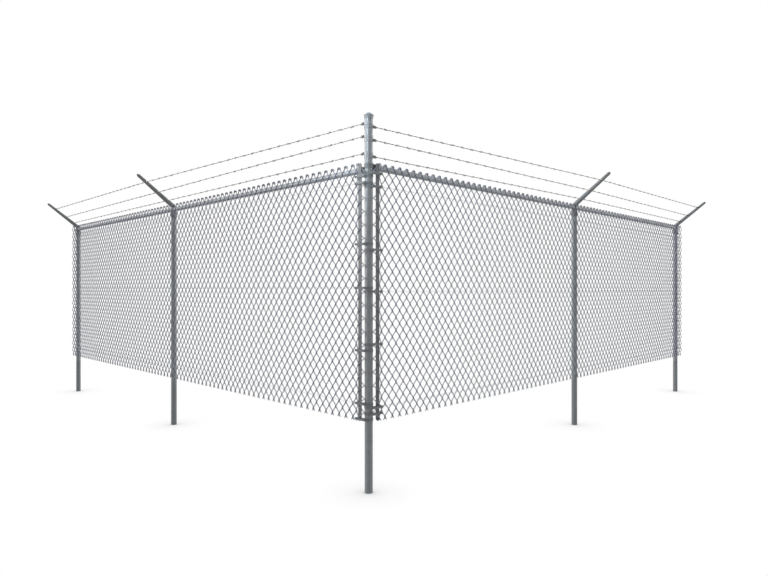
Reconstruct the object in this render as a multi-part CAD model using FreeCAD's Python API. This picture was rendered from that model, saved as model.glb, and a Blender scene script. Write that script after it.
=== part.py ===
import FreeCAD, Part
import math
import os

os.makedirs("parts", exist_ok=True)
V = FreeCAD.Vector

# Frame: origin at the centre of the corner post's foot, +Z up. The right wall runs along +X with its
# outer face towards -Y; the left wall is its mirror image in the plane x = y. Millimetres.
# A wall is drawn in s (along it), o (outwards from the post axes) and z (up).

# chain link fabric: two layers of straight wires, joined at the selvages and at the tie rows
LINE_POST = 3022.0      # line and end posts' axes, along the wall from the corner post's axis
END_POST = 5978.0
WIRE = 5.1              # square wire with the area of a 5.8 mm round one
LAYER_GAP = 5.2         # between the layers, where the tension bar is threaded
MESH_W = 76.0           # mesh width, fitted to the wall's length
MESH_H = 94.74          # mesh height
ROWS = 19
FABRIC_START = 10.0     # first loops, along the wall from the corner post's axis
FABRIC_OVER = 112.0     # fabric past the end post's axis
FABRIC_Z = 521.4        # lowest crossings
KNUCKLE_UP = 16.0       # wire above the top crossings
TAIL_DOWN = 16.0        # cut ends below the lowest crossings
JOIN_W = 2.4            # join between the layers
TIE_STEP = 2            # columns from one join to the next along a tie row

# posts and rails
POST_R = 29.3           # 58.6 mm tube
POST_WALL = 3.2
BARB_RISE = 350.0       # corner post tube above the top crossings
RAIL_R = 21.1           # 42.2 mm tube
RAIL_WALL = 2.6
RIGHT_RAIL_DROP = 8.0   # rails' axes below the top crossings
LEFT_RAIL_DROP = 27.2
RAIL_OVER = 2.0         # rail past the fabric's end
SEAT_GAP = 5.0          # from a line post's top to the rail

# corner post cap
SKIRT_T = 2.5
SKIRT_H = 18.0
BRIM_OUT = 6.5
BRIM_H = 4.0            # brim below the tube's top
DOME_H = 26.0

# corner fittings
BAND_T = 2.5
BAND_H = 16.0
BAND_GAP = 0.5          # between an ear and the fabric
EAR_REACH = 93.0        # ears' ends from the post's axis
BAR_W = 32.0
BAR_T = 4.8
BAR_DOWN = 12.0         # tension bar past the lowest and the top crossings
BAR_UP = 17.0
BOLT_R = 4.0
HEAD_R = 8.5
HEAD_T = 4.5
NUT_T = 6.0
BOLT_OVER = 3.0         # shank past the nut
HOLE_GAP = 0.3
LUG_T = 8.0
LUG_H = 50.0
CUP_WALL = 3.3
CUP_LEN = 46.0
CUP_FLOOR = 6.0
RAIL_CUP_S = 64.0       # rail end cup's face from the post's axis
BRACE_S = 48.0          # brace bolt from the post's axis
BRACE_EAR = 62.0
BRACE_STEP = 14.0       # brace band above the rail's axis
TENSION_R = 1.6
# heights of the tension bands as shares of the fabric; the second, fourth and sixth take a tension wire
RIGHT_BANDS = (0.969, 0.917, 0.667, 0.503, 0.295, 0.0466, 0.0215)
LEFT_BANDS = (0.957, 0.930, 0.690, 0.517, 0.270, 0.0606, -0.0006)

# barbed wire arms and strands
SLEEVE_T = 2.0
SLEEVE_H = 66.0         # below the post's top
EYE_T = 3.0
EYE_LEN = 44.0
ARM_OUT = 20.0
ARM_UP = 37.0           # arms' feet above the rail's axis
ARM_BACK = 40.0         # channel behind its foot, down onto the eye
ARM_LEN = 470.0
ARM_TILT = 37.3         # degrees above level
ARM_W = 44.0            # round-bottomed channel, at the foot
ARM_DEPTH = 44.0
ARM_SHEET = 3.0
ARM_TAPER = 0.64        # size before the tip, as a share of the foot's
TIP_LEN = 24.0
SLOT_W = 8.0
STRAND_R = 2.2
STRAND_OVER = 6.0       # strand past the end arm's side
STRAND_BAND_H = 18.0
STRAND_EAR = 42.0
LINE_SEAT_UP = 0.0      # strand centre above the arm's middle
END_SEAT_UP = 12.0
LINE_SEATS = (0.763, 0.438, 0.166)
END_SEATS = (0.745, 0.397, 0.135)
# heights of the strands on the corner post as shares of its rise above the fabric
RIGHT_STRANDS = (0.777, 0.508, 0.171)
LEFT_STRANDS = (0.843, 0.583, 0.234)

LENGTH = END_POST + FABRIC_OVER - FABRIC_START
COLUMNS = round(LENGTH / 2 / MESH_W)    # in each of a wall's two lengths of fabric
COLUMN = LENGTH / 2 / COLUMNS
RISE = ROWS * MESH_H
TOP_Z = FABRIC_Z + RISE
CORNER_TOP = TOP_Z + BARB_RISE
FABRIC_DEPTH = 2 * WIRE + LAYER_GAP
FABRIC_OUT = POST_R + SLEEVE_T + FABRIC_DEPTH / 2 + 2 * BAND_GAP
TILT = math.radians(ARM_TILT)
UP = V(0, 0, 1)
ALONG = V(1, 0, 0)
OUT = V(0, -1, 0)


def pt(s, o, z):
    return V(s, -o, z)


def box(s, o, z):
    """A box from (low, high) pairs in s, o and z."""
    return Part.makeBox(s[1] - s[0], o[1] - o[0], z[1] - z[0], V(s[0], -o[1], z[0]))


def tube(radius, wall, start, axis, length):
    return Part.makeCylinder(radius, length, start, axis).cut(
        Part.makeCylinder(radius - wall, length, start, axis))


def face(points):
    return Part.Face(Part.makePolygon(points + points[:1]))


def loop(radius, centre, axis, sides):
    """The corners of a regular polygon square to an axis of the frame."""
    side = V(0, 0, 1) if abs(axis.z) < 0.5 else V(1, 0, 0)
    other = axis.cross(side)
    angles = [2 * math.pi * (k + 0.5) / sides for k in range(sides)]
    return [centre + side * (radius * math.cos(a)) + other * (radius * math.sin(a)) for a in angles]


def skin(loops):
    """A solid whose flat sides join loops of corners, each loop to the next."""
    sides = [face([a[i], a[i - 1], b[i - 1], b[i]])
             for a, b in zip(loops, loops[1:]) for i in range(len(a))]
    solid = Part.Solid(Part.Shell(sides + [face(loops[0]), face(loops[-1])]))
    if solid.Volume < 0:
        solid.reverse()
    return solid


def rod(radius, start, axis, length, sides, outside=False):
    """A prism with few sides, inside a circle of this radius or, for a bore, outside it."""
    if outside:
        radius = radius / math.cos(math.pi / sides)
    return face(loop(radius, start, axis, sides)).extrude(axis * length)


def prism(points, z0, z1):
    """A plan outline of (s, o) points raised from z0 to z1."""
    return face([pt(s, o, z0) for s, o in points]).extrude(UP * (z1 - z0))


def strap(z, height, ears, holes):
    """A band round the corner post, fused with its ears and cut for its bolts."""
    foot = V(0, 0, z - height / 2)
    ring = rod(POST_R + BAND_T, foot, UP, height, 20, True)
    whole = ring.fuse(ears).cut([rod(POST_R, foot, UP, height, 20, True)] + holes)
    return whole.removeSplitter()


def bolt(s, z, back, front):
    """A domed head on the front, a nut on the back and a shank through both."""
    shank = rod(BOLT_R, pt(s, back - NUT_T - BOLT_OVER, z), OUT, front - back + NUT_T + BOLT_OVER + 1, 8)
    head = skin([loop(HEAD_R, pt(s, front, z), OUT, 8),
                 loop(HEAD_R * 0.55, pt(s, front + HEAD_T, z), OUT, 8)])
    nut = rod(HEAD_R, pt(s, back - NUT_T, z), OUT, NUT_T, 6)
    return shank.fuse([head, nut]).removeSplitter()


def bolt_hole(s, z):
    return rod(BOLT_R + HOLE_GAP, pt(s, -2 * FABRIC_OUT, z), OUT, 4 * FABRIC_OUT, 8, True)


def save(name, shapes, left=False):
    """Write a node; a left wall's node is the mirror image of what is drawn."""
    if left:
        shapes = [s.mirror(V(0, 0, 0), V(1, -1, 0)) for s in shapes]
    shape = shapes[0] if len(shapes) == 1 else Part.makeCompound(shapes)
    shape.exportStep("parts/" + name + ".step")


# chain link fabric
def wires(first, rise, o):
    """The straight wires of one layer over a length of fabric; rise is 1 or -1 along the wall."""
    half = WIRE / 2 * math.hypot(COLUMN, MESH_H) / COLUMN
    low, high = -TAIL_DOWN / MESH_H, ROWS + KNUCKLE_UP / MESH_H
    out = []
    for i in range(first - ROWS, first + COLUMNS + ROWS):
        foot = i + 0.5
        reach = sorted((foot + rise * low, foot + rise * high))
        a, b = max(reach[0], first), min(reach[1], first + COLUMNS)
        head = foot + rise * ROWS
        inside = max(min(foot, head), first), min(max(foot, head), first + COLUMNS)
        if inside[1] - inside[0] < 0.1:
            continue
        ends = [(FABRIC_START + k * COLUMN, FABRIC_Z + (k - foot) * rise * MESH_H) for k in (a, b)]
        under = [pt(s, o - WIRE / 2, z - half) for s, z in ends]
        over = [pt(s, o - WIRE / 2, z + half) for s, z in ends[::-1]]
        out.append(face(under + over).extrude(OUT * WIRE))
    return out


def fabric(first):
    """One length of fabric as a single solid: both layers, joined at the selvages, ends and tie rows."""
    offset = (WIRE + LAYER_GAP) / 2
    bars = wires(first, -1, FABRIC_OUT + offset) + wires(first, 1, FABRIC_OUT - offset)
    spots = [(i + 0.5, row) for row in (0, ROWS) for i in range(max(first, 1), first + COLUMNS)]
    for k, row in enumerate((ROWS / 2, ROWS - 1.5)):
        shift = 0.5 if row == int(row) else 1.0
        spots += [(i + shift, row) for i in range(first + 1 + k, first + COLUMNS - 1, TIE_STEP)]
    w, d = JOIN_W / 2, offset
    end = w / COLUMN if first == 0 else 2 * COLUMNS - w / COLUMN
    spots += [(end, row + 0.5) for row in range(ROWS)]
    joins = []
    for column, row in spots:
        s, z = FABRIC_START + column * COLUMN, FABRIC_Z + row * MESH_H
        joins.append(box((s - w, s + w), (FABRIC_OUT - d, FABRIC_OUT + d), (z - w, z + w)))
    return bars[0].multiFuse(bars[1:] + joins)


def wire_clearance(s, z):
    """How far a point of the wall lies from the nearest fabric wire."""
    u, v = (s - FABRIC_START) / COLUMN - 0.5, (z - FABRIC_Z) / MESH_H
    near = min(abs(u - v - round(u - v)), abs(u + v - round(u + v)))
    return near * COLUMN * MESH_H / math.hypot(COLUMN, MESH_H)


def bolt_spot(z):
    """Where along a band's ears its bolt passes clear of the tension bar and the wires."""
    low = FABRIC_START + COLUMN / 2 + BAR_W / 2 + BOLT_R + BAND_GAP
    high = EAR_REACH - HEAD_R
    return max((low + (high - low) * k / 12 for k in range(13)), key=lambda s: wire_clearance(s, z))


near_length, far_length = fabric(0), fabric(COLUMNS)
for side in ("right", "left"):
    save(side + "_fabric_near", [near_length], side == "left")
    save(side + "_fabric_far", [far_length], side == "left")

# corner post and its cap
save("corner_post", [tube(POST_R, POST_WALL, V(0, 0, 0), UP, CORNER_TOP)])
brim = POST_R + BRIM_OUT
cap_line = [(POST_R + SKIRT_T, -SKIRT_H), (POST_R + SKIRT_T * 1.4, -BRIM_H * 2.5), (brim, -BRIM_H), (brim, 0),
            (brim * 0.72, DOME_H * 0.48), (brim * 0.5, DOME_H * 0.8), (brim * 0.16, DOME_H)]
cap = skin([loop(r, V(0, 0, CORNER_TOP + z), UP, 24) for r, z in cap_line])
socket = rod(POST_R + HOLE_GAP, V(0, 0, CORNER_TOP - SKIRT_H), UP, SKIRT_H, 24, True)
save("corner_post_cap", [cap.cut(socket)])


def on_arm(foot_z, t, up):
    """The (o, z) point a length t along an arm's middle line and up from it."""
    return (ARM_OUT + t * math.cos(TILT) - up * math.sin(TILT),
            foot_z + t * math.sin(TILT) + up * math.cos(TILT))


def arm(s, rail_z, foot_z, seats, seat_up):
    """Post-top sleeve with the rail's eye and a channel arm, slotted for the strands."""
    low, high = rail_z - RAIL_R - SEAT_GAP - SLEEVE_H, rail_z - RAIL_R
    sleeve = rod(POST_R + SLEEVE_T, pt(s, 0, low), UP, high - low, 24)
    eye = rod(RAIL_R + EYE_T, pt(s - EYE_LEN / 2, 0, rail_z), ALONG, EYE_LEN, 24)
    turn = [math.pi * k / 6 for k in range(7)]
    rim, centre = ARM_DEPTH / 2, (ARM_W - ARM_DEPTH) / 2
    line = []
    for r, turns in ((ARM_W / 2, turn), (ARM_W / 2 - ARM_SHEET, turn[::-1])):
        bottom = [(-r * math.cos(a), centre - r * math.sin(a)) for a in turns]
        line += [(bottom[0][0], rim)] + bottom + [(bottom[-1][0], rim)]
    stations = ((-ARM_BACK, 1.0), (ARM_LEN - TIP_LEN, ARM_TAPER), (ARM_LEN, ARM_TAPER * 0.35))
    sections = [[pt(s + a * f, *on_arm(foot_z, t, b * f)) for a, b in line] for t, f in stations]
    whole = sleeve.fuse([eye, skin(sections)])
    holes = [rod(POST_R + HOLE_GAP, pt(s, 0, low), UP, SLEEVE_H, 24, True),
             rod(RAIL_R + HOLE_GAP, pt(s - EYE_LEN, 0, rail_z), ALONG, 2 * EYE_LEN, 24, True)]
    for f in seats:
        slot = Part.makeBox(2 * ARM_W, SLOT_W, 2 * ARM_DEPTH, V(-ARM_W, -SLOT_W / 2, -STRAND_R - HOLE_GAP))
        slot.rotate(V(0, 0, 0), ALONG, ARM_TILT)
        slot.translate(pt(s, *on_arm(foot_z, f * ARM_LEN, seat_up)))
        holes.append(slot)
    return whole.cut(holes).removeSplitter()


def strand(z, foot_z, line_seat, end_seat):
    """A taut strand from the corner band over the line arm to the end arm."""
    stations = [pt(STRAND_EAR, POST_R + BAND_T / 2, z),
                pt(LINE_POST, *on_arm(foot_z, line_seat * ARM_LEN, LINE_SEAT_UP)),
                pt(END_POST + ARM_W / 2 + STRAND_OVER, *on_arm(foot_z, end_seat * ARM_LEN, END_SEAT_UP))]
    return skin([loop(STRAND_R, p, ALONG, 6) for p in stations])


def tension_bar(s):
    """Flat bar with round ends, threaded between the fabric's layers."""
    r = BAR_W / 2
    turn = [math.pi * k / 8 for k in range(9)]
    high = [(s + r * math.cos(a), TOP_Z + BAR_UP - r + r * math.sin(a)) for a in turn]
    low = [(s - r * math.cos(a), FABRIC_Z - BAR_DOWN + r - r * math.sin(a)) for a in turn]
    return face([pt(a, FABRIC_OUT - BAR_T / 2, z) for a, z in high + low]).extrude(OUT * BAR_T)


def tension_band(z):
    """Strap whose two ears hold the tension bar and the fabric's end between them."""
    low, high = z - BAND_H / 2, z + BAND_H / 2
    back = FABRIC_OUT - FABRIC_DEPTH / 2 - BAND_GAP
    front = FABRIC_OUT + FABRIC_DEPTH / 2 + BAND_GAP
    inner = box((0, EAR_REACH), (back - BAND_T, back), (low, high))
    r = POST_R + BAND_T
    outer = prism([(-r * 0.72, r * 0.66), (-r * 0.62, r * 0.62), (BAND_T / 2, front), (EAR_REACH, front),
                   (EAR_REACH, front + BAND_T), (0, front + BAND_T)], low, high)
    return strap(z, BAND_H, [inner, outer], [bolt_hole(bolt_spot(z), z)])


def brace_band(z):
    low, high = z - BAND_H / 2, z + BAND_H / 2
    pairs = ((LUG_T / 2, LUG_T / 2 + BAND_T), (-LUG_T / 2 - BAND_T, -LUG_T / 2))
    return strap(z, BAND_H, [box((POST_R - BAND_T, BRACE_EAR), o, (low, high)) for o in pairs],
                 [bolt_hole(BRACE_S, z)])


def strand_band(z):
    low, high = z - STRAND_BAND_H / 2, z + STRAND_BAND_H / 2
    return strap(z, STRAND_BAND_H, [box((0, STRAND_EAR), (POST_R, POST_R + BAND_T), (low, high))], [])


walls = (("right", RIGHT_BANDS, RIGHT_STRANDS, RIGHT_RAIL_DROP),
         ("left", LEFT_BANDS, LEFT_STRANDS, LEFT_RAIL_DROP))
for side, band_shares, strand_shares, rail_drop in walls:
    left = side == "left"
    bands = [FABRIC_Z + f * RISE for f in band_shares]
    rail_z = TOP_Z - rail_drop
    brace_z = rail_z + BRACE_STEP
    foot_z = rail_z + ARM_UP
    post_top = rail_z - RAIL_R - SEAT_GAP
    for name, s, seats, seat_up in (("_line", LINE_POST, LINE_SEATS, LINE_SEAT_UP),
                                    ("_end", END_POST, END_SEATS, END_SEAT_UP)):
        save(side + name + "_post", [tube(POST_R, POST_WALL, pt(s, 0, 0), UP, post_top)], left)
        save(side + name + "_arm", [arm(s, rail_z, foot_z, seats, seat_up)], left)

    # top rail, the cup on its end and the brace band that ties the cup to the corner post
    rail_s = RAIL_CUP_S + CUP_FLOOR
    rail_len = FABRIC_START + LENGTH + RAIL_OVER - rail_s
    save(side + "_rail", [tube(RAIL_R, RAIL_WALL, pt(rail_s, 0, rail_z), ALONG, rail_len)], left)
    cup = rod(RAIL_R + CUP_WALL, pt(RAIL_CUP_S, 0, rail_z), ALONG, CUP_LEN, 20)
    bore = rod(RAIL_R, pt(rail_s, 0, rail_z), ALONG, CUP_LEN, 20, True)
    lug_t = LUG_T / 2 - HOLE_GAP
    lug = box((POST_R + BAND_T + HOLE_GAP, rail_s - CUP_FLOOR / 2), (-lug_t, lug_t),
              (rail_z - LUG_H / 2, rail_z + LUG_H / 2))
    rail_end = cup.fuse(lug).cut([bore, bolt_hole(BRACE_S, brace_z)]).removeSplitter()
    save(side + "_rail_end", [rail_end], left)
    save(side + "_brace_band", [brace_band(brace_z)], left)

    # tension bar, its bands and their bolts, and the tension wires
    bar_s = FABRIC_START + COLUMN / 2
    save(side + "_tension_bar", [tension_bar(bar_s)], left)
    save(side + "_tension_bands", [tension_band(z) for z in bands], left)
    ear = FABRIC_DEPTH / 2 + BAND_GAP + BAND_T
    bolts = [bolt(bolt_spot(z), z, FABRIC_OUT - ear, FABRIC_OUT + ear) for z in bands]
    bolts.append(bolt(BRACE_S, brace_z, -LUG_T / 2 - BAND_T, LUG_T / 2 + BAND_T))
    save(side + "_band_bolts", bolts, left)
    wire_o = FABRIC_OUT + FABRIC_DEPTH / 2 + BAND_GAP + TENSION_R
    save(side + "_tension_wires", [rod(TENSION_R, pt(EAR_REACH, wire_o, z), ALONG,
                                       FABRIC_START + LENGTH - EAR_REACH, 6) for z in bands[1:6:2]], left)

    # barbed strands and the bands that start them
    strands = [TOP_Z + f * BARB_RISE for f in strand_shares]
    save(side + "_strand_bands", [strand_band(z) for z in strands], left)
    for name, z, a, b in zip(("_top", "_middle", "_low"), strands, LINE_SEATS, END_SEATS):
        save(side + name + "_strand", [strand(z, foot_z, a, b)], left)
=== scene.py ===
import math

import bpy
import numpy as np
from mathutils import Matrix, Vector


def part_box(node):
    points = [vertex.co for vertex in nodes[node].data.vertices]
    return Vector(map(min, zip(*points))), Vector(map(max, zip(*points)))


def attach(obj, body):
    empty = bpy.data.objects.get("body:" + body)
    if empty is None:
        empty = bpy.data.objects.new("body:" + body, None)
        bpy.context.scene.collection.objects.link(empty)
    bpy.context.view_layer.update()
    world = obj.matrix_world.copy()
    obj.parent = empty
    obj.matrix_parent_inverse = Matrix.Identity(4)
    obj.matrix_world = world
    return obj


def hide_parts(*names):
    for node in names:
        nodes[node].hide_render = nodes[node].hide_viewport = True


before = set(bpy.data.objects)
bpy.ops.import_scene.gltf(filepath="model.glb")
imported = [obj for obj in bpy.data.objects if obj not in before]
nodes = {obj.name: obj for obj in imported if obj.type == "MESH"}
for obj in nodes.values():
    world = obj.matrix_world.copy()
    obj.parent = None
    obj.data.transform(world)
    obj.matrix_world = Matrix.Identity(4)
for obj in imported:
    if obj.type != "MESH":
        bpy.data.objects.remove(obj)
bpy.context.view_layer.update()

# Posts: plain round steel tube, hot dip galvanised, cut square at both ends and set in the ground.
# The zinc has faint crystal spangle, cloudy patches and streaks that run down the tube.
# The line and end posts have painted light: their zinc is lighter than the corner post's, against the
# fabric's shadow on them, and painted shade darkens them below the fabric.
TUBE_FINISH = dict(metal=0.2, sheen=0.35, roughness=0.34, spangle=55, streak=(1, 1, 0.25), bump=0.08)
PAINTED_SHADE_BELOW, PAINTED_LIGHT_ABOVE = 0.40, 0.62
PAINTED_FOOT_SHADE = (0.62, 0.62, 0.62)


def zinc(name, colour, metal, sheen, roughness, spangle, streak, bump):
    """Galvanised steel: Voronoi cells for the spangle and stretched noise for streaks, both mixed into
    the colour, with the same noise in the roughness and a fine bump."""
    dark_share, light_share = 0.84, 1.14
    smoother, rougher = 0.08, 0.1
    mat = bpy.data.materials.new(name)
    mat.use_nodes = True
    tree = mat.node_tree
    new, link = tree.nodes.new, tree.links.new
    shader = tree.nodes["Principled BSDF"]
    shader.inputs["Metallic"].default_value = metal
    shader.inputs["Specular IOR Level"].default_value = sheen
    place = new("ShaderNodeTexCoord").outputs["Object"]
    cells = new("ShaderNodeTexVoronoi")
    cells.inputs["Scale"].default_value = spangle
    link(place, cells.inputs["Vector"])
    stretch = new("ShaderNodeMapping")
    stretch.inputs["Scale"].default_value = streak
    link(place, stretch.inputs["Vector"])
    cloud = new("ShaderNodeTexNoise")
    cloud.inputs["Scale"].default_value = 3.0
    cloud.inputs["Detail"].default_value = 6.0
    link(stretch.outputs["Vector"], cloud.inputs["Vector"])
    grain = new("ShaderNodeMix")
    grain.inputs["Factor"].default_value = 0.65
    link(cells.outputs["Color"], grain.inputs["A"])
    link(cloud.outputs["Fac"], grain.inputs["B"])
    tone = new("ShaderNodeValToRGB")
    dark, light = tone.color_ramp.elements
    dark.position, light.position = 0.25, 0.75
    dark.color = (*[c * dark_share for c in colour], 1)
    light.color = (*[c * light_share for c in colour], 1)
    link(grain.outputs["Result"], tone.inputs["Fac"])
    link(tone.outputs["Color"], shader.inputs["Base Color"])
    gloss = new("ShaderNodeMapRange")
    gloss.inputs["To Min"].default_value = roughness - smoother
    gloss.inputs["To Max"].default_value = roughness + rougher
    link(cloud.outputs["Fac"], gloss.inputs["Value"])
    link(gloss.outputs["Result"], shader.inputs["Roughness"])
    relief = new("ShaderNodeBump")
    relief.inputs["Strength"].default_value = bump
    relief.inputs["Distance"].default_value = 0.0005
    link(grain.outputs["Result"], relief.inputs["Height"])
    link(relief.outputs["Normal"], shader.inputs["Normal"])
    return mat


def coat(mat, *names):
    """Give the solids of these names one finish."""
    for name in names:
        nodes[name].data.materials.clear()
        nodes[name].data.materials.append(mat)


def paint_shade(mat, amount, shade):
    """Painted shade: multiply a zinc's colour by a darker shade, by as much as the socket amount gives."""
    tree = mat.node_tree
    colour = tree.nodes["Principled BSDF"].inputs["Base Color"]
    mix = tree.nodes.new("ShaderNodeMix")
    mix.data_type, mix.blend_type = "RGBA", "MULTIPLY"
    share, unshaded, shaded, mixed = mix.inputs[0], mix.inputs[6], mix.inputs[7], mix.outputs[2]
    shaded.default_value = (*shade, 1)
    tree.links.new(amount, share)
    tree.links.new(colour.links[0].from_socket, unshaded)
    tree.links.new(mixed, colour)


tube_zinc = zinc("galvanised_tube", (0.212, 0.219, 0.227), **TUBE_FINISH)
coat(tube_zinc, "corner_post")
# Painted light: a lighter copy of the tube's zinc for the posts behind the fabric, to offset its shadow.
post_zinc = zinc("galvanised_post", (0.310, 0.320, 0.332), **TUBE_FINISH)
tree = post_zinc.node_tree
height = tree.nodes.new("ShaderNodeSeparateXYZ")
tree.links.new(tree.nodes["Texture Coordinate"].outputs["Object"], height.inputs["Vector"])
# Painted shade towards the feet: full at the lower height, none at the upper.
post_painted_shade = tree.nodes.new("ShaderNodeMapRange")
post_painted_shade.inputs["From Min"].default_value = PAINTED_SHADE_BELOW
post_painted_shade.inputs["From Max"].default_value = PAINTED_LIGHT_ABOVE
post_painted_shade.inputs["To Min"].default_value = 1.0
post_painted_shade.inputs["To Max"].default_value = 0.0
tree.links.new(height.outputs["Z"], post_painted_shade.inputs["Value"])
paint_shade(post_zinc, post_painted_shade.outputs["Result"], PAINTED_FOOT_SHADE)
coat(post_zinc, "right_line_post", "right_end_post", "left_line_post", "left_end_post")

# Corner post cap: a pressed dome with a brim and a skirt that slips over the tube's top.
# One closed surface of revolution: down inside the skirt, round its hem, up over the brim and the dome
# to the crown, and back along the underside.
MM = 0.001
EVEN = (1, 1, 1)
CAP_SIDES = 48
CORNER_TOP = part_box("corner_post")[1].z
CAP_OUTLINE = np.array([
    (29.6, 0.0), (29.6, -17.5), (30.0, -18.0), (31.0, -18.0), (31.6, -17.2), (31.9, -15.0),
    (32.4, -9.0), (33.3, -3.0), (34.4, 1.5), (35.5, 4.2), (35.9, 6.0), (35.6, 7.6), (34.4, 9.0),
    (31.6, 10.4), (27.6, 12.0), (23.6, 14.4), (20.2, 17.4), (17.0, 20.4), (13.6, 22.9), (9.6, 24.8),
    (4.8, 25.8), (0.4, 26.0), (0.4, 0.0)]) * MM


def put(name, points, quads, mat, slot, *replaced):
    """A smooth mesh from an array of points and an array of four-cornered faces."""
    mesh = bpy.data.meshes.new(name)
    mesh.vertices.add(len(points))
    mesh.vertices.foreach_set("co", np.ascontiguousarray(points, np.float32).ravel())
    mesh.loops.add(quads.size)
    mesh.loops.foreach_set("vertex_index", np.ascontiguousarray(quads, np.int32).ravel())
    mesh.polygons.add(len(quads))
    mesh.polygons.foreach_set("loop_start", np.arange(0, quads.size, 4, dtype=np.int32))
    mesh.update(calc_edges=True)
    mesh.validate()
    mesh.polygons.foreach_set("use_smooth", np.ones(len(mesh.polygons), bool))
    mesh.materials.append(mat)
    obj = bpy.data.objects.new(name, mesh)
    bpy.context.scene.collection.objects.link(obj)
    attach(obj, "root")
    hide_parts(*replaced)
    return obj


def lattice(paths, rings, sides, closed):
    """Quads of a grid of points for each of many paths: rings along it, sides round it, and the last
    ring joined to the first if closed."""
    p = np.arange(paths)[:, None, None] * rings * sides
    r = np.arange(rings if closed else rings - 1)[None, :, None]
    k = np.arange(sides)[None, None, :]
    turn, step = (k + 1) % sides, (r + 1) % rings
    quads = np.stack(np.broadcast_arrays(p + r * sides + k, p + r * sides + turn,
                                         p + step * sides + turn, p + step * sides + k), -1)
    return quads.reshape(-1, 4)


def lathe(profile, sides, axis_point):
    """A closed profile of (radius, height) pairs turned about the vertical through a point."""
    angle = np.linspace(0, 2 * np.pi, sides, endpoint=False)
    r, z = profile[:, 0][:, None], profile[:, 1][:, None]
    grid = np.stack([r * np.cos(angle) + 0 * z, r * np.sin(angle) + 0 * z, z + 0 * angle], -1)
    return grid.reshape(-1, 3) + axis_point, lattice(1, len(profile), sides, True)


cap_zinc = zinc("cap_casting", (0.222, 0.232, 0.245), metal=0.2, sheen=0.25, roughness=0.5,
                spangle=140, streak=EVEN, bump=0.12)
cap_points, cap_quads = lathe(CAP_OUTLINE, CAP_SIDES, np.array([0, 0, CORNER_TOP]))
put("cap_dome", cap_points, cap_quads, cap_zinc, "cap_casting", "corner_post_cap")

# Top rails with their end cups and brace bands: galvanised tube in a cast cup, bolted to a pressed strap.
# The rail's zinc streaks run along it, so its noise is stretched level and not upright.
rail_zinc = zinc("galvanised_rail", (0.345, 0.354, 0.367), metal=0.2, sheen=0.2, roughness=0.42,
                 spangle=55, streak=(0.25, 0.25, 1), bump=0.08)
coat(rail_zinc, "right_rail", "left_rail", "right_rail_end", "left_rail_end")
band_zinc = zinc("galvanised_band", (0.180, 0.186, 0.193), metal=0.05, sheen=0.1, roughness=0.5,
                 spangle=120, streak=EVEN, bump=0.1)
coat(band_zinc, "right_brace_band", "left_brace_band")

# Barbed wire arms: a pressed sleeve on the post's top with an eye for the rail, and a round-bottomed channel
# of sheet steel, open above, that leans outwards, tapers to a rounded tip and is slotted for the strands.
# Welded together and hot dip galvanised; the sleeve slips over the post and the rail runs through the eye.
WALLS = ("right", "left")
LINE_POST, END_POST = 3.022, 5.978
RAIL_Z = {wall: sum(v.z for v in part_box(wall + "_rail")) / 2 for wall in WALLS}
POST_TOP_DROP = 0.0261              # from a rail's axis down to the post's top
ARM_OUT, ARM_UP = 0.020, 0.037      # arm's foot, out from the post's axis and up from the rail's
ARM_LEN, ARM_BACK, ARM_TILT = 0.470, 0.040, math.radians(37.3)
ARM_TAPER = 0.64                    # size before the tip, as a share of the foot's
TIP, TIP_END = 0.024, 0.35          # tip's length, and the size it ends at as a share
CHANNEL_R, SHEET = 0.022, 0.003
LIP_IN, LIP_DOWN = 0.0006, 0.0008   # eased edges of the channel's rims
SLOT_HALF, SLOT_EDGE, SLOT_FLOOR = 0.004, 0.0001, 0.0036
STATIONS, TIP_STATIONS, ARC_POINTS = 14, 7, 13
SEATS = {"top": (0.763, 0.745), "middle": (0.438, 0.397), "low": (0.166, 0.135)}
SEAT_UP = {"line": 0.0, "end": 0.012}
FITTING_SIDES = 32
SLEEVE_OUTLINE = np.array([
    (29.4, -66.0), (30.8, -66.0), (31.3, -65.4), (31.3, -8.0), (30.6, -2.5), (28.0, 1.5), (24.5, 3.6),
    (0.4, 5.0), (0.4, 0.5), (29.4, 0.5)]) * MM
EYE_OUTLINE = np.array([
    (21.2, -20.0), (23.4, -20.0), (24.1, -19.2), (24.1, 19.2), (23.4, 20.0), (21.2, 20.0)]) * MM


def on_wall(soz, wall):
    """Points given along, out from and up a wall, as points of the frame; the left wall mirrors the
    right one."""
    s, o, z = soz[..., 0], soz[..., 1], soz[..., 2]
    return np.stack([-o, s, z] if wall == "left" else [s, -o, z], -1)


def facing_out(quads, wall):
    """Faces worked out along, out and up, turned over for the right wall, which mirrors those axes."""
    return quads[:, ::-1] if wall == "right" else quads


def on_arm(wall, t, up):
    """A place on an arm: out and up along its slope from the foot above the rail, then up square to
    the slope."""
    return (ARM_OUT + t * np.cos(ARM_TILT) - up * np.sin(ARM_TILT),
            RAIL_Z[wall] + ARM_UP + t * np.sin(ARM_TILT) + up * np.cos(ARM_TILT))


def trough(radius, lip):
    """One face of the channel's U, from rim to rim: half a circle below and an eased edge on each side."""
    turn = np.linspace(0, np.pi, ARC_POINTS)
    left = np.array([(lip - radius, CHANNEL_R), (-radius, CHANNEL_R - LIP_DOWN)])
    arc = radius * np.stack([-np.cos(turn), -np.sin(turn)], -1)
    return np.concatenate([left, arc, left[::-1] * (-1, 1)])


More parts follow.
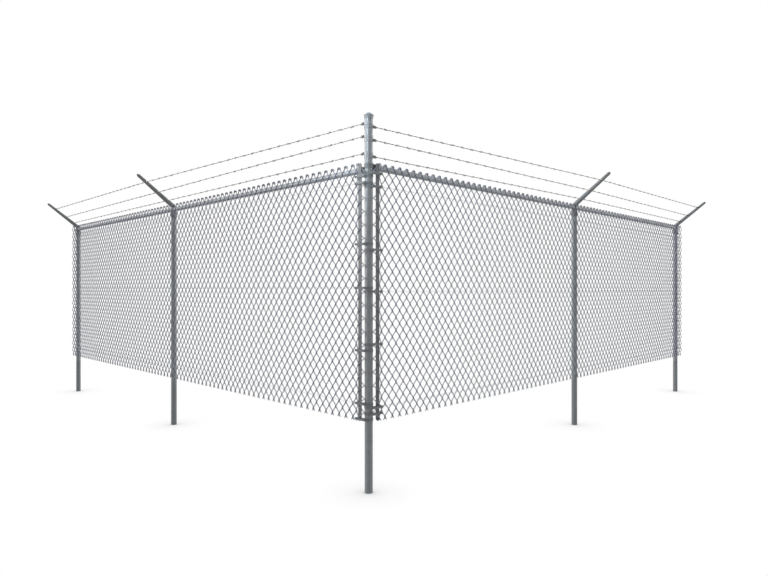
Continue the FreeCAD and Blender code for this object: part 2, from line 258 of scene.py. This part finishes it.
def channel(wall, post, slots, up):
    """A U of sheet at each station along the arm, smaller towards the tip by a straight taper and then
    a quarter ellipse; in a slot its sides stop at the slot's floor, and at both ends inside and outside
    meet."""
    line = np.concatenate([trough(CHANNEL_R, LIP_IN), trough(CHANNEL_R - SHEET, -LIP_IN)[::-1]])
    slots = np.array(slots) * ARM_LEN
    inside, beside = SLOT_HALF - SLOT_EDGE, SLOT_HALF + SLOT_EDGE
    edges = (slots[:, None] + np.array([-beside, -inside, inside, beside])).ravel()
    straight = np.linspace(-ARM_BACK, ARM_LEN - TIP, STATIONS)[:-1]
    bend = ARM_LEN - TIP * (1 - np.sin(np.linspace(0, np.pi / 2, TIP_STATIONS)))
    t = np.sort(np.concatenate([straight, edges, bend]))
    t = np.concatenate([t[:1], t, t[-1:]])
    round_off = np.sqrt(1 - ((t - ARM_LEN + TIP) / TIP).clip(0, 1) ** 2)
    taper = np.interp(t, [-ARM_BACK, ARM_LEN - TIP], [1, ARM_TAPER])
    size = taper * (TIP_END + (1 - TIP_END) * round_off)
    in_slot = (np.abs(t[:, None] - slots) < SLOT_HALF).any(1)
    floor = np.where(in_slot, up - SLOT_FLOOR, np.inf)
    rings = np.repeat(line[None], len(t), 0)
    rings[0] = rings[-1] = (line + line[::-1]) / 2
    aside = rings[..., 0] * size[:, None]
    height = np.minimum(rings[..., 1] * size[:, None], floor[:, None])
    o, z = on_arm(wall, t[:, None], height)
    return np.stack([post + aside, o, z], -1).reshape(-1, 3), lattice(1, len(t), len(line), False)[:, ::-1]


def join(*pieces):
    """One mesh from several pairs of points and quads."""
    starts = np.cumsum([0] + [len(points) for points, quads in pieces])
    return (np.concatenate([points for points, quads in pieces]),
            np.concatenate([quads + start for (points, quads), start in zip(pieces, starts)]))


arm_zinc = zinc("galvanised_arm", (0.185, 0.19, 0.195), metal=0.2, sheen=0.2, roughness=0.4,
                spangle=120, streak=EVEN, bump=0.1)
for wall in WALLS:
    for which, (place, post) in enumerate((("line", LINE_POST), ("end", END_POST))):
        post_top = np.array([post, 0, RAIL_Z[wall] - POST_TOP_DROP])
        eye_points, eye_quads = lathe(EYE_OUTLINE, FITTING_SIDES, np.zeros(3))
        eye_points = eye_points[:, [2, 0, 1]] + np.array([post, 0, RAIL_Z[wall]])
        points, quads = join(lathe(SLEEVE_OUTLINE, FITTING_SIDES, post_top), (eye_points, eye_quads),
                             channel(wall, post, [seat[which] for seat in SEATS.values()], SEAT_UP[place]))
        put(wall + "_" + place + "_outrigger", on_wall(points, wall), facing_out(quads, wall),
            arm_zinc, "galvanised_fitting", wall + "_" + place + "_arm")

# Chain link fabric: round galvanised wires bent to flat zigzags, each hooked into its neighbour at every
# bend. The top ends are knuckled over each other; the bottom ends are twisted in pairs and cut with
# splayed tips. The legs on the outer side are darkened by painted shade, standing in for light that
# falls less on them than on the inner legs.
WIRE_R, WIRE_SIDES = 0.0036, 5
WIRES = 80                          # in each of a wall's two lengths
MESH_W, MESH_H, ROWS = 0.076, 0.09474, 19
START, LOW = 0.010, 0.5214          # first loops along the wall, and lowest crossings
LAYER_OUT = 0.0058                  # wires' centres from the fabric's middle
BAR_ROOM = 0.0205                   # first hooks moved along, to let the tension bar through
APEX = 0.0100                       # last leg past the top crossings
TWIST_H = 0.0065
# Painted shade on the outer legs, and a smaller share of it on the wires round the tension bar.
PAINTED_OUTER_SHADE = (0.45, 0.45, 0.46)
BAR_WIRES, BAR_SHARE = 2, 0.3       # wires round the tension bar take this share of the shade
near_low, near_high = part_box("right_fabric_near")
FABRIC_OUT = -(near_low.y + near_high.y) / 2


def sweep(paths, radius, sides, aside):
    """Round tubes along many paths of equal length: at each point a ring square to the path, whose first
    spoke is the direction aside less its part along the path. Each tube's ends close almost to a point."""
    end_share = 0.02
    run = np.gradient(paths, axis=1)
    run /= np.linalg.norm(run, axis=-1, keepdims=True)
    spoke = aside - (run @ aside)[..., None] * run
    spoke /= np.linalg.norm(spoke, axis=-1, keepdims=True)
    other = np.cross(run, spoke)
    angle = np.linspace(0, 2 * np.pi, sides, endpoint=False)
    size = np.broadcast_to(radius, paths.shape[:2]).copy()
    size[:, 0] *= end_share
    size[:, -1] *= end_share
    rings = paths[:, :, None] + size[:, :, None, None] * (
        np.cos(angle)[:, None] * spoke[:, :, None] + np.sin(angle)[:, None] * other[:, :, None])
    n, m = paths.shape[:2]
    return rings.reshape(-1, 3), lattice(n, m, sides, False)


def pickets(first, count):
    """Flat zigzag wires: along the wall a triangle wave between two columns of crossings, out of it a
    square wave with rounded steps, so that rising legs lie behind and falling legs in front, and up it a
    steady climb; a twist of one turn and a splayed tip below, a knuckle bent over and down above."""
    p = np.arange(first, first + count)[:, None]
    legs = 2 * ROWS
    share = np.array([0, 0.05, 0.1, 0.9, 0.95])
    swing = np.array([0, 0.8, 1, 1, 0.8])
    leg = np.repeat(np.arange(legs), len(share))[None]
    f = np.tile(share, legs)[None]
    at_left = (p + leg) % 2 == 1
    across = np.where(at_left, f, 1 - f)
    near = START + p * MESH_W / 2 + BAR_ROOM * (p == 1)
    far = START + (p + 1) * MESH_W / 2 + BAR_ROOM * (p == 0)
    s = near - WIRE_R + (far - near + 2 * WIRE_R) * across
    o = np.where(at_left, -1, 1) * np.tile(swing, legs)[None] * LAYER_OUT
    z = LOW + (leg + f) * MESH_H / 2 + APEX * f * (leg == legs - 1)
    body = np.stack([s, FABRIC_OUT + o, z + 0 * s], -1)
    side = np.where(p % 2 == 0, 1.0, -1.0)
    column = START + (p + (p % 2 == 0)) * MESH_W / 2 + BAR_ROOM * (p < 2)
    turn = np.linspace(1, 0, 6, endpoint=False)[None]
    tail = np.stack([column + side * WIRE_R * np.cos(2 * np.pi * turn),
                     FABRIC_OUT + side * WIRE_R * np.sin(2 * np.pi * turn),
                     LOW - TWIST_H * turn + 0 * side], -1)
    splay = np.array([[0.0150, 0.0148, 0.0090]])
    stand = np.array([[0.0012, 0.0012, 0.001]])
    drop = np.array([[0.0165, 0.0163, 0.0110]])
    tip = np.stack([column + side * splay, FABRIC_OUT + side * stand, LOW - drop + 0 * side], -1)
    top = LOW + ROWS * MESH_H + APEX
    curl = np.array([[2.6, -1.0, -3.4, 0.6, 5.0, 9.6, 14.2, 14.4]]) * MM
    lean = np.array([[0.0, -2.6, 0.6, 3.4, 4.6, 4.8, 4.6, 4.6]]) * MM
    lift = np.array([[0.0, 2.6, 5.4, 7.6, 6.4, 0.8, -6.2, -6.5]]) * MM
    knuckle = np.stack([column + side * curl, FABRIC_OUT + side * lean, top + lift + 0 * side], -1)
    return np.concatenate([tip, tail, body, knuckle], 1)


wire_zinc = zinc("galvanised_wire", (0.312, 0.320, 0.374), metal=0.0, sheen=0.1, roughness=0.6,
                 spangle=260, streak=EVEN, bump=0.02)
# Painted shade on the chain link wires: a point attribute darkens the outer legs.
painted_shade = wire_zinc.node_tree.nodes.new("ShaderNodeAttribute")
painted_shade.attribute_name = "painted_shade"
paint_shade(wire_zinc, painted_shade.outputs["Fac"], PAINTED_OUTER_SHADE)
for wall in WALLS:
    along = np.array([0, 1.0, 0]) if wall == "left" else np.array([1.0, 0, 0])
    for length, first in (("near", 0), ("far", WIRES)):
        wires = pickets(first, WIRES)
        points, quads = sweep(on_wall(wires, wall), WIRE_R, WIRE_SIDES, along)
        cloth = put(wall + "_weave_" + length, points, quads, wire_zinc, "galvanised_wire",
                    wall + "_fabric_" + length)
        # Painted shade: full on the outer legs, none on the inner, and less on the wires round the tension
        # bar.
        outer_painted_shade = ((wires[..., 1] - FABRIC_OUT) / LAYER_OUT).clip(0, 1)
        outer_painted_shade[np.arange(first, first + WIRES) < BAR_WIRES] *= BAR_SHARE
        shade = cloth.data.attributes.new("painted_shade", "FLOAT", "POINT")
        shade.data.foreach_set("value", np.repeat(outer_painted_shade, WIRE_SIDES).astype(np.float32))

# Tension bars, bands and bolts at the corner: flat bars through the first loops, held to the post by
# pressed straps with domed bolts. Tension wires: crimped steel wire along the fabric from three bands.
bar_zinc = zinc("galvanised_bar", (0.112, 0.115, 0.120), metal=0.1, sheen=0.2, roughness=0.42,
                spangle=160, streak=EVEN, bump=0.15)
coat(bar_zinc, "right_tension_bar", "left_tension_bar", "right_band_bolts", "left_band_bolts")
coat(band_zinc, "right_tension_bands", "left_tension_bands")
TENSION_Z = {"right": (2.1721, 1.4268, 0.6053), "left": (2.1955, 1.4520, 0.6305)}
TENSION_R, TENSION_SIDES = 0.0013, 5
TENSION_START = 0.080
TENSION_END = START + WIRES * MESH_W - 0.004
TENSION_OUT = 0.0105                # from the fabric's middle
CRIMP_OUT, CRIMP_UP = 0.001, 0.004
CRIMP_POINTS = 10                   # in each mesh
UP = np.array([0, 0, 1.0])
for wall in WALLS:
    rise = np.array(TENSION_Z[wall])[:, None]
    s = np.linspace(TENSION_START, TENSION_END, WIRES * CRIMP_POINTS)[None] + 0 * rise
    wave = np.cos(2 * np.pi * (s - START) / MESH_W)
    soz = np.stack([s, FABRIC_OUT + TENSION_OUT + CRIMP_OUT * wave, rise + CRIMP_UP * wave], -1)
    points, quads = sweep(on_wall(soz, wall), TENSION_R, TENSION_SIDES, UP)
    put(wall + "_crimped_wires", points, quads, wire_zinc, "galvanised_wire", wall + "_tension_wires")

# Barbed strands: two galvanised wires twisted together, with short pointed wires wrapped on at even steps.
# Each runs taut from its band on the corner post, where its end is wound back round itself, over the line
# arm to the end arm.
coat(tube_zinc, "right_strand_bands", "left_strand_bands")
POST_R, STRAND_BAND = 0.0293, 0.0025
STRAND_EAR = 0.042
STRAND_END = END_POST + 0.028
STRAND_Z = {"right": (2.5934, 2.4993, 2.3813), "left": (2.6165, 2.5255, 2.4034)}
STRAND_BACK, STRAND_POINTS, LAY = 0.015, 620, 0.075
STRAND_R, STRAND_HELIX, STRAND_SIDES = 0.0019, 0.0018, 5
BARB_FIRST, BARB_STEP, BARB_LAST = 0.135, 0.114, END_POST + 0.02
BARB_R, BARB_SIDES, BARB_TURNS = 0.0019, 4, 1.4
BARB_SPIN, PAIR_SPIN = 2.4, 1.7     # turned on from the last barb, and from the other of its pair
PAIR_OFF, WOUND_LEN, LOOSE_LEN = 0.004, 0.004, 0.009
KNOT_BACK, KNOT_LEN, KNOT_TURNS, KNOT_POINTS = 0.022, 0.020, 4, 60
KNOT_R, KNOT_HELIX, KNOT_SIDES = 0.0025, 0.0085, 6
ALONG = np.array([1.0, 0, 0])


def strand_line(wall, name, z, s):
    """Points along a strand at distances s: straight from the corner band to the line arm and on to the
    end arm."""
    line_seat, end_seat = (seat * ARM_LEN for seat in SEATS[name])
    stops = np.array([(STRAND_EAR, POST_R + STRAND_BAND / 2, z),
                      (LINE_POST, *on_arm(wall, line_seat, SEAT_UP["line"])),
                      (STRAND_END, *on_arm(wall, end_seat, SEAT_UP["end"]))])
    return np.stack([s, np.interp(s, stops[:, 0], stops[:, 1]), np.interp(s, stops[:, 0], stops[:, 2])], -1)


def round_line(angle, radius):
    """Steps square to a strand, at an angle round it and a radius from it."""
    return np.stack([0 * angle, radius * np.cos(angle), radius * np.sin(angle)], -1)


def twisted_pair(wall, name, z):
    """Two wires, each a helix about the strand's line, half a turn from the other."""
    s = np.linspace(STRAND_EAR - STRAND_BACK, STRAND_END, STRAND_POINTS)[None] + np.zeros((2, 1))
    lay = 2 * np.pi * s / LAY + np.array([[0], [np.pi]])
    path = strand_line(wall, name, z, s) + round_line(lay, STRAND_HELIX)
    return sweep(path, STRAND_R, STRAND_SIDES, UP)


def barbs(wall, name, z):
    """Short wires in pairs at even steps: the middle half of each is a close helix about the strand, and
    its ends run straight out from the strand and along it."""
    step = np.arange(BARB_FIRST, BARB_LAST, BARB_STEP)
    spin = np.tile(BARB_SPIN * np.arange(len(step)), 2) + np.repeat([0, PAIR_SPIN], len(step))
    wrap = np.array([[-1.0, -0.97, -0.5, -0.3, -0.1, 0.1, 0.3, 0.5, 0.97, 1.0]])
    reach = np.array([[9.5, 9.3, 4.6, 4.3, 4.3, 4.3, 4.3, 4.6, 9.3, 9.5]]) * MM
    angle = spin[:, None] + wrap.clip(-0.5, 0.5) * 2 * np.pi * BARB_TURNS
    wound = np.abs(wrap).clip(0, 0.5) / 0.5
    loose = (np.abs(wrap) - 0.5).clip(0, 0.5) / 0.5
    slide = np.sign(wrap) * (WOUND_LEN * wound + LOOSE_LEN * loose)
    place = np.tile(step, 2) + np.repeat([-PAIR_OFF, PAIR_OFF], len(step))
    path = strand_line(wall, name, z, place[:, None] + slide) + round_line(angle, reach)
    return sweep(path, BARB_R, BARB_SIDES, ALONG)


def end_knot(wall, name, z):
    """The strand's end wound back: a helix of a few turns about the strand, beside its band."""
    wind = np.linspace(0, 2 * np.pi * KNOT_TURNS, KNOT_POINTS)[None]
    s = STRAND_EAR - KNOT_BACK + KNOT_LEN * wind / wind.max()
    path = strand_line(wall, name, z, s) + round_line(wind, KNOT_HELIX)
    return sweep(path, KNOT_R, KNOT_SIDES, ALONG)


barb_zinc = zinc("barbed_wire", (0.300, 0.285, 0.265), metal=0.0, sheen=0.1, roughness=0.6,
                 spangle=260, streak=EVEN, bump=0.05)
for wall in WALLS:
    for name, z in zip(SEATS, STRAND_Z[wall]):
        points, quads = join(twisted_pair(wall, name, z), barbs(wall, name, z), end_knot(wall, name, z))
        put(wall + "_barbed_" + name, on_wall(points, wall), facing_out(quads, wall),
            barb_zinc, "galvanised_wire", wall + "_" + name + "_strand")

# Studio: a wide pale floor and white surroundings. A broad sun overhead is the key, low suns on the left and
# the right light the edges, and a small bluish softbox on the left lights the corner post's top.
# Floor and surroundings look white to the camera and in reflections; the feet's shadow stays on the floor.
FLOOR_HALF = 60
CONTACT = 0.35                      # reach of the feet's shadow
SUN_WIDTH = 0.6
SOFTBOX_PLACE, SOFTBOX_TARGET = np.array([-2.6, -0.3, 3.5]), np.array([0.0, 0.0, 2.6])
floor_mesh = bpy.data.meshes.new("floor")
floor_corners = [(x * FLOOR_HALF, y * FLOOR_HALF, 0) for x, y in ((-1, -1), (1, -1), (1, 1), (-1, 1))]
floor_mesh.from_pydata(floor_corners, [], [(0, 1, 2, 3)])
floor = bpy.data.objects.new("floor", floor_mesh)
bpy.context.scene.collection.objects.link(floor)


def seen_directly(tree):
    """A socket that is 1 for camera, glossy and transmitted rays and 0 for the light that falls on the
    object."""
    path = tree.nodes.new("ShaderNodeLightPath")
    total = path.outputs["Is Camera Ray"]
    for kind in ("Is Glossy Ray", "Is Transmission Ray"):
        either = tree.nodes.new("ShaderNodeMath")
        either.operation = "MAXIMUM"
        tree.links.new(total, either.inputs[0])
        tree.links.new(path.outputs[kind], either.inputs[1])
        total = either.outputs[0]
    return total


def two_ways(tree, lit, shown, output):
    """Join two shaders: one lights the object and the other is what is seen directly."""
    blend = tree.nodes.new("ShaderNodeMixShader")
    tree.links.new(seen_directly(tree), blend.inputs["Fac"])
    tree.links.new(lit, blend.inputs[1])
    tree.links.new(shown, blend.inputs[2])
    tree.links.new(blend.outputs["Shader"], tree.nodes[output].inputs["Surface"])


floor_mat = bpy.data.materials.new("studio_floor")
floor_mat.use_nodes = True
tree = floor_mat.node_tree
plain = tree.nodes["Principled BSDF"]
plain.inputs["Base Color"].default_value = (0.50, 0.50, 0.50, 1)
plain.inputs["Roughness"].default_value = 0.9
contact = tree.nodes.new("ShaderNodeAmbientOcclusion")
contact.inputs["Distance"].default_value = CONTACT
white = tree.nodes.new("ShaderNodeEmission")
tree.links.new(contact.outputs["Color"], white.inputs["Color"])
two_ways(tree, plain.outputs["BSDF"], white.outputs["Emission"], "Material Output")
floor_mesh.materials.append(floor_mat)

world = bpy.data.worlds.new("studio")
world.use_nodes = True
bpy.context.scene.world = world
sky = world.node_tree
fill = sky.nodes["Background"]
fill.inputs["Color"].default_value = (0.88, 0.95, 1.0, 1)
fill.inputs["Strength"].default_value = 0.16
backdrop = sky.nodes.new("ShaderNodeBackground")
backdrop.inputs["Color"].default_value = (1, 1, 1, 1)
two_ways(sky, fill.outputs["Background"], backdrop.outputs["Background"], "World Output")


def hang(name, kind, towards, energy, colour):
    """A lamp that shines from the direction given: tipped from straight down by the direction's slope
    and turned to its bearing."""
    light = bpy.data.lights.new(name, kind)
    light.energy = energy
    light.color = colour
    obj = bpy.data.objects.new(name, light)
    x, y, z = towards
    obj.rotation_euler = (math.atan2(math.hypot(x, y), z), 0, math.atan2(y, x) + math.pi / 2)
    bpy.context.scene.collection.objects.link(obj)
    return obj


softbox = hang("left_softbox", "AREA", SOFTBOX_PLACE - SOFTBOX_TARGET, 3.7, (0.76, 0.90, 1.0))
softbox.location = SOFTBOX_PLACE
softbox.data.size = 0.8
softbox.data.spread = math.radians(35)
for name, towards, energy, colour in (("top_key", (-0.10, -0.10, 0.99), 2.6, (0.94, 0.98, 1.0)),
                                      ("left_rim", (-0.66, 0.72, 0.16), 2.3, (0.97, 0.99, 1.0)),
                                      ("right_rim", (0.90, -0.40, 0.12), 1.8, (1.0, 1.0, 1.0))):
    hang(name, "SUN", towards, energy, colour).data.angle = SUN_WIDTH

# Camera: level, outside the corner and a little under head height, looking along the line between the walls.
# The 28 mm lens and its small shift give the photograph's frame.
EYE_PLACE = (-2.9234, -3.0825, 1.4414)
BEARING = 0.7867                    # of the view, from the right wall's direction
camera = bpy.data.cameras.new("view")
camera.sensor_fit = "HORIZONTAL"
camera.sensor_width = 36.0
camera.lens = 28.04
camera.clip_end = 200
camera.shift_x, camera.shift_y = 0.00026, 0.00182
eye = bpy.data.objects.new("view", camera)
eye.location = EYE_PLACE
eye.rotation_euler = (math.pi / 2, 0, BEARING - math.pi / 2)
bpy.context.scene.collection.objects.link(eye)
bpy.context.scene.camera = eye
bpy.context.scene.view_settings.view_transform = "Standard"
